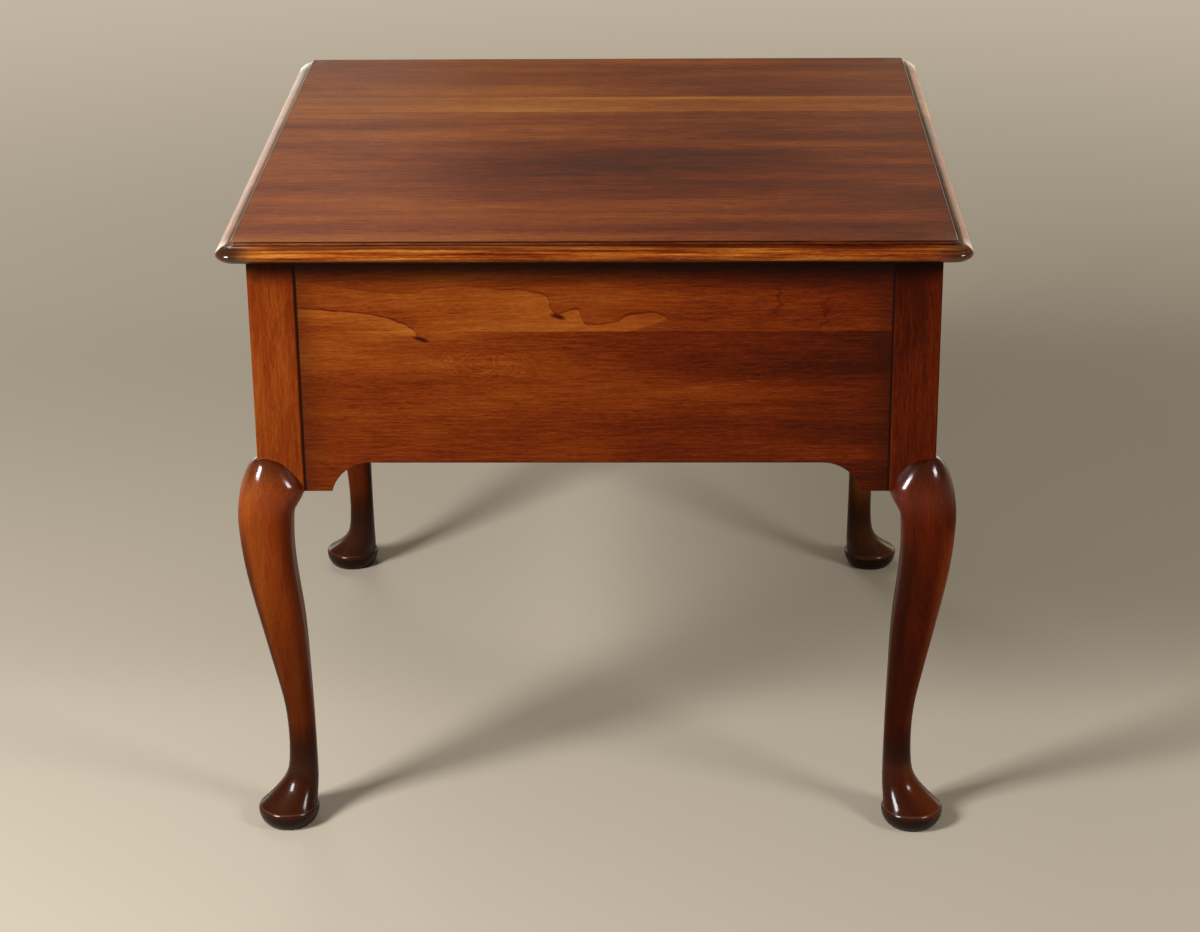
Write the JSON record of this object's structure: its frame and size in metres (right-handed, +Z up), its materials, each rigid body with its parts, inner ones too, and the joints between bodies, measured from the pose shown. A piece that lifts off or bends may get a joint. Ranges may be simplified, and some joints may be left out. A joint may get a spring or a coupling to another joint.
{
  "type": "side table",
  "caption": "Square wooden side table with a moulded top, deep bracketed apron, cabriole legs on pad feet and a sliding drawer with hanging bail pulls.",
  "frame": {"origin": "on the floor under the middle of the table", "axes": "+Z up, +Y out of the drawer front, so the plain back faces -Y, and +X to the left of a person who faces the drawer"},
  "size_m": [0.69, 0.69, 0.61],
  "materials": {
    "cherry": "stained cherry under satin lacquer",
    "poplar": "bare planed poplar",
    "brass": "aged brass",
    "steel": "plain steel screws"
  },
  "bodies": {
    "frame": {"table_top": "cherry", "front_left_leg": "cherry", "front_right_leg": "cherry", "back_left_leg": "cherry", "back_right_leg": "cherry", "back_apron": "cherry", "left_apron": "cherry", "right_apron": "cherry", "front_top_rail": "cherry", "front_bottom_rail": "cherry", "left_runner": "poplar", "right_runner": "poplar", "left_guide": "poplar", "right_guide": "poplar", "left_kicker": "poplar", "right_kicker": "poplar", "left_corner_block": "poplar", "right_corner_block": "poplar", "left_drawer_stop": "poplar", "right_drawer_stop": "poplar", "top_screws": "steel", "rail_screws": "steel", "corner_block_screws": "steel"},
    "drawer": {"drawer_front": "cherry", "drawer_left_side": "poplar", "drawer_right_side": "poplar", "drawer_back": "poplar", "drawer_bottom": "poplar", "drawer_bottom_screws": "steel", "pull_posts": "brass", "pull_rosettes": "brass", "pull_nuts": "brass"},
    "left_bail": {"left_bail": "brass"},
    "right_bail": {"right_bail": "brass"}
  },
  "joints": [
    {"name": "drawer_slide", "type": "slide", "parent": "frame", "child": "drawer", "axis": [0, 1, 0], "range_m": [0, 0.38]},
    {"name": "left_bail_swing", "type": "hinge", "parent": "drawer", "child": "left_bail", "pos_m": [0.15, 0.3359, 0.49065], "axis": [1, 0, 0], "range_deg": [-12, 150]},
    {"name": "right_bail_swing", "type": "hinge", "parent": "drawer", "child": "right_bail", "pos_m": [-0.15, 0.3359, 0.49065], "axis": [1, 0, 0], "range_deg": [-12, 150]}
  ]
}
